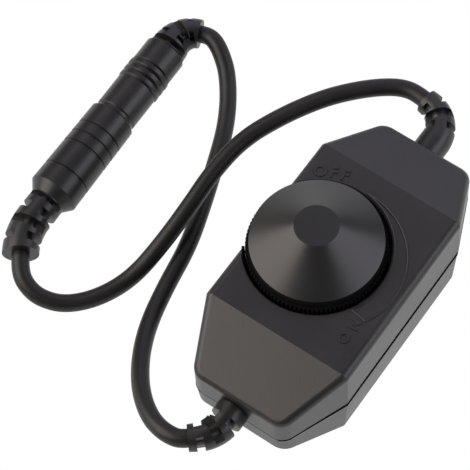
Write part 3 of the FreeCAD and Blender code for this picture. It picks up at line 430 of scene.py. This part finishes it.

# Knob: one smooth black moulding, a little glossier than the case, pushed onto the shaft's flat.
# Its neck and its skirt of fine teeth come duller from the mould and lie in the shade of the cone's rim,
# so a thin
# skin covers them: rougher for the dull finish, and near black with weak reflections as painted shade.

SKIRT_RADIUS = 14.95 * MM
SKIRT_PROUD = 0.01 * MM
SKIRT_SKIN = 0.02 * MM
UNDERSIDE = -0.9

knob_black = grained_plastic("smooth_knob", (0.014, 0.014, 0.0143), 0.32, 16 * MM, 0.5 * MM, 0.01 * MM)
dress(knob_black, "knob")
skirt = copy_of("knob")
smooth = []
for face in skirt.faces:
    away = (face.calc_center_median() - KNOB_AXIS).xy.length
    if away < SKIRT_RADIUS or face.normal.z < UNDERSIDE:
        smooth.append(face)
bmesh.ops.delete(skirt, geom=smooth, context="FACES")
skirt.normal_update()
for vert in skirt.verts:
    vert.co += vert.normal * SKIRT_PROUD
bmesh.ops.solidify(skirt, geom=skirt.faces[:], thickness=SKIRT_SKIN)
# Painted shade: near black with weak reflections for the shade under the cone's rim, and rougher for the
# duller teeth.
skirt_painted_shade = grained_plastic("dull_skirt_painted_shade", (0.003, 0.003, 0.003), 0.8, 5 * MM, 0.3 * MM, 0.01 * MM,
                              gleam=0.1)
add_piece("knob_skirt_painted_shade", skirt, skirt_painted_shade, "turning_knob")

# Ends of the knob's opening: the side wall closes up to the skirt on both sides of the opening,
# in two narrow curved strips of the upper shell, painted near black for the shade of the knob they lie
# in.

STRIP_RADII = (15.95 * MM, 16.6 * MM)
STRIP_HEIGHTS = (21.0 * MM, 27.7 * MM)
STRIP_ARCS = ((math.radians(123.3), math.radians(128)), (math.radians(52), math.radians(56.7)))
STRIP_STEPS = 4

strips = bmesh.new()
for start, end in STRIP_ARCS:
    inner, outer = STRIP_RADII
    corners = [on_arc(KNOB_AXIS, radius, start).xy.to_3d() + Vector((0, 0, height))
               for radius, height in ((inner, STRIP_HEIGHTS[0]), (outer, STRIP_HEIGHTS[0]),
                                      (outer, STRIP_HEIGHTS[1]), (inner, STRIP_HEIGHTS[1]))]
    section = strips.faces.new([strips.verts.new(corner) for corner in corners])
    bmesh.ops.spin(strips, geom=[section, *section.edges, *section.verts], cent=KNOB_AXIS,
                   axis=(0, 0, 1), angle=end - start, steps=STRIP_STEPS)
add_piece("opening_ends", strips, painted_shade_black, "dimmer")

# Strain reliefs and connector grips: softer black plastic moulded round the cords, duller than
# the case, with slots that let the boots bend.

grip_black = grained_plastic("soft_moulding", (0.010, 0.0098, 0.0102), 0.36, 10 * MM, 0.4 * MM,
                             0.015 * MM)
dress(grip_black, "output_relief", "input_relief", "plug_body", "socket_body")

# Metal inside: pressed and turned pieces, with zinc-plated steel on the control and the screws,
# bright nickel on the barrel and the pin, and bare brass on the springs that touch them.

STREAK_STRETCH = (1, 1, 8)
STREAK_SHADE = 0.88
POLISH_SPREAD = (-0.06, 0.08)


def plated(name, colour, roughness, streak):
    """A plated or bare metal with fine streaks in its polish."""
    material = bpy.data.materials.new(name)
    tree, add = new_nodes(material)
    spot = add("ShaderNodeTexCoord")
    stretch = add("ShaderNodeMapping")
    stretch.inputs["Scale"].default_value = STREAK_STRETCH
    streaks = add("ShaderNodeTexNoise")
    streaks.inputs["Scale"].default_value = 1 / streak
    streaks.inputs["Detail"].default_value = 4
    tint = add("ShaderNodeValToRGB")
    tint.color_ramp.elements[0].color = (*(part * STREAK_SHADE for part in colour), 1)
    tint.color_ramp.elements[1].color = (*colour, 1)
    gloss = add("ShaderNodeMapRange")
    gloss.inputs["To Min"].default_value = roughness + POLISH_SPREAD[0]
    gloss.inputs["To Max"].default_value = roughness + POLISH_SPREAD[1]
    shader = add("ShaderNodeBsdfPrincipled")
    shader.inputs["Metallic"].default_value = 1.0
    tree.links.new(spot.outputs["Object"], stretch.inputs["Vector"])
    tree.links.new(stretch.outputs["Vector"], streaks.inputs["Vector"])
    tree.links.new(streaks.outputs["Fac"], tint.inputs["Fac"])
    tree.links.new(streaks.outputs["Fac"], gloss.inputs["Value"])
    tree.links.new(tint.outputs["Color"], shader.inputs["Base Color"])
    tree.links.new(gloss.outputs["Result"], shader.inputs["Roughness"])
    tree.links.new(shader.outputs[0], add("ShaderNodeOutputMaterial").inputs["Surface"])
    return material


dress(plated("zinc_plate", (0.62, 0.62, 0.60), 0.36, 1.2 * MM),
      "case_screws", "pot_case", "pot_shaft", "pot_washer", "pot_nut")
dress(plated("bright_nickel", (0.70, 0.69, 0.66), 0.2, 1.0 * MM), "plug_barrel", "socket_pin")
dress(plated("contact_brass", (0.72, 0.55, 0.25), 0.3, 1.0 * MM), "plug_contact", "socket_spring")

# Hard plastic and board inside the case: brown laminate, green solder mask, black parts and the
# red insulation of the lead wires.

dress(grained_plastic("hard_insulator", (0.02, 0.02, 0.021), 0.3, 6 * MM, 0.4 * MM, 0.01 * MM),
      "plug_insulator", "socket_liner", "pot_wiper")
dress(grained_plastic("brown_laminate", (0.30, 0.16, 0.06), 0.55, 3 * MM, 0.3 * MM, 0.02 * MM),
      "pot_track", "resistors")
dress(grained_plastic("green_solder_mask", (0.03, 0.20, 0.07), 0.35, 8 * MM, 0.5 * MM, 0.02 * MM),
      "circuit_board")
dress(grained_plastic("black_epoxy", (0.025, 0.025, 0.026), 0.5, 3 * MM, 0.2 * MM, 0.01 * MM),
      "power_transistor", "controller_chip", "diode")
dress(grained_plastic("capacitor_sleeve", (0.05, 0.06, 0.10), 0.35, 4 * MM, 0.4 * MM, 0.01 * MM),
      "capacitor")
dress(grained_plastic("lead_insulation", (0.40, 0.03, 0.02), 0.45, 4 * MM, 0.3 * MM, 0.01 * MM),
      "output_leads", "input_leads")
